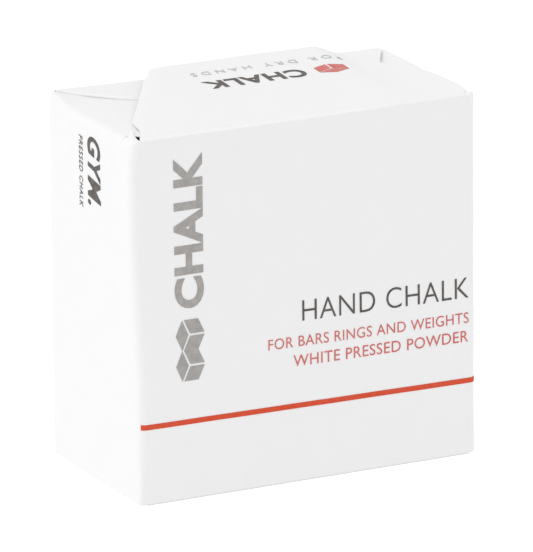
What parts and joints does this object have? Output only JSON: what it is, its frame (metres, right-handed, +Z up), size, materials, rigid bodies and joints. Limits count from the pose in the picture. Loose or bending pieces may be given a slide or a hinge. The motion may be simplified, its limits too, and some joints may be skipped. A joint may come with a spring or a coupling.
{
  "type": "gymnastics chalk block",
  "caption": "Pressed chalk block in a folded white paper wrapper, with a glued back seam, a fixed folded underside and top flaps and tucks that open.",
  "frame": {"origin": "middle of the underside, on the surface the wrapped block stands on", "axes": "+Z up, the wide printed front faces -Y, the narrow left side faces -X; width along X, depth along Y"},
  "size_m": [0.052, 0.0283, 0.054],
  "materials": {
    "paper": "satin",
    "chalk": "matte",
    "glue": "satin",
    "red_ink": "satin"
  },
  "bodies": {
    "wrapper": {"wrapper_sleeve": "paper", "seam_glue": "glue", "printed_stripe": "red_ink", "bottom_left_tuck": "paper", "bottom_right_tuck": "paper", "bottom_back_flap": "paper", "bottom_back_left_wing": "paper", "bottom_back_right_wing": "paper", "bottom_front_flap": "paper", "bottom_front_left_wing": "paper", "bottom_front_right_wing": "paper", "bottom_glue_dab": "glue"},
    "block": {"chalk_block": "chalk"},
    "front_flap": {"top_front_flap": "paper", "top_front_left_wing": "paper", "top_front_right_wing": "paper"},
    "back_flap": {"top_back_flap": "paper", "top_back_left_wing": "paper", "top_back_right_wing": "paper"},
    "left_tuck": {"top_left_tuck": "paper"},
    "right_tuck": {"top_right_tuck": "paper"}
  },
  "joints": [
    {"name": "front_flap_fold", "type": "hinge", "parent": "wrapper", "child": "front_flap", "pos_m": [0, -0.0141, 0.0524], "axis": [1, 0, 0], "range_deg": [0, 165]},
    {"name": "back_flap_fold", "type": "hinge", "parent": "wrapper", "child": "back_flap", "pos_m": [0, 0.0141, 0.0526], "axis": [-1, 0, 0], "range_deg": [0, 165]},
    {"name": "left_tuck_fold", "type": "hinge", "parent": "wrapper", "child": "left_tuck", "pos_m": [-0.026, 0, 0.052], "axis": [0, -1, 0], "range_deg": [0, 165]},
    {"name": "right_tuck_fold", "type": "hinge", "parent": "wrapper", "child": "right_tuck", "pos_m": [0.026, 0, 0.052], "axis": [0, 1, 0], "range_deg": [0, 165]},
    {"name": "block_slide", "type": "slide", "parent": "wrapper", "child": "block", "axis": [0, 0, 1], "range_m": [0, 0.0075]}
  ],
  "couplings": [
    {"joint": "front_flap_fold", "follows": "block_slide", "rad_per_m": 383.97},
    {"joint": "back_flap_fold", "follows": "block_slide", "rad_per_m": 383.97},
    {"joint": "left_tuck_fold", "follows": "block_slide", "rad_per_m": 383.97},
    {"joint": "right_tuck_fold", "follows": "block_slide", "rad_per_m": 383.97}
  ]
}
